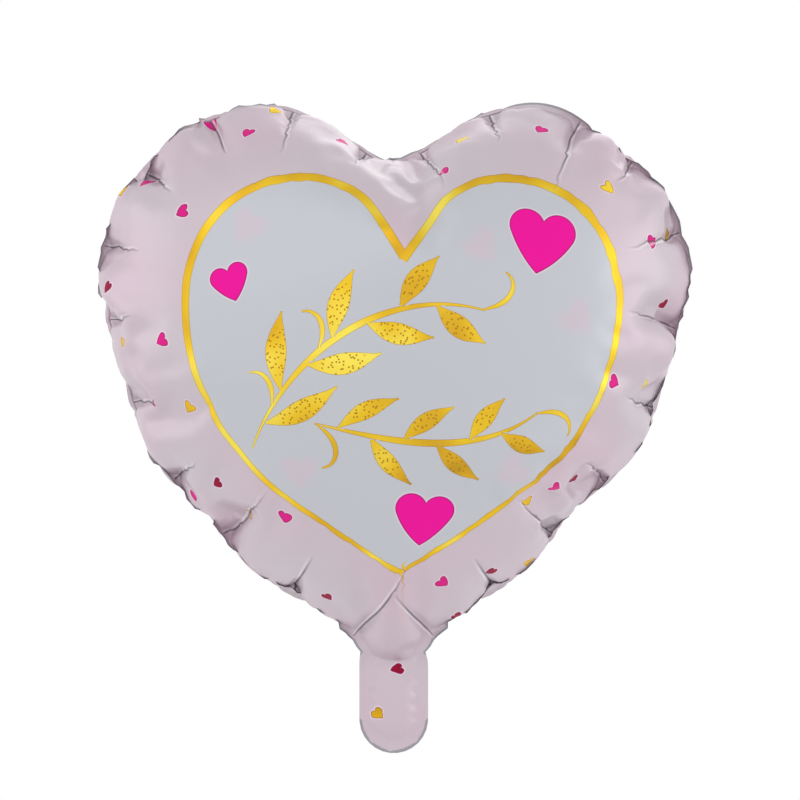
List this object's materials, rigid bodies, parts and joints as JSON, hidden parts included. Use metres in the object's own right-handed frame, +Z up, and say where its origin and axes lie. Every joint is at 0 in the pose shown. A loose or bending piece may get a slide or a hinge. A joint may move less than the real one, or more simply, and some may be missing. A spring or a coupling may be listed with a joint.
{
  "type": "heart-shaped foil balloon",
  "caption": "Inflated heart-shaped foil balloon: two printed foil films sealed along a narrow flange, with a rounded filling tail below and a flat self-closing valve in its neck.",
  "frame": {"origin": "middle of the neck between the heart and its tail, where the ribbon is tied, on the seam plane", "axes": "+X across the heart, +Z up from the neck to the cleft, -Y out of the printed front face"},
  "size_m": [0.384, 0.184, 0.4136],
  "materials": {
    "pearl_film": "pale pink pearl print on metallised nylon film, satin gloss",
    "clear_valve_film": "clear polyethylene film, slightly milky"
  },
  "bodies": {
    "heart": {"front_film": "pearl_film", "back_film": "pearl_film", "valve_front_film": "clear_valve_film", "valve_back_film": "clear_valve_film"},
    "tail": {"tail_front_film": "pearl_film", "tail_back_film": "pearl_film", "tail_valve_front_film": "clear_valve_film", "tail_valve_back_film": "clear_valve_film"}
  },
  "joints": [
    {"name": "tail_flex", "type": "hinge", "parent": "heart", "child": "tail", "pos_m": [0, 0, 0], "axis": [1, 0, 0], "range_deg": [-85, 85]}
  ]
}
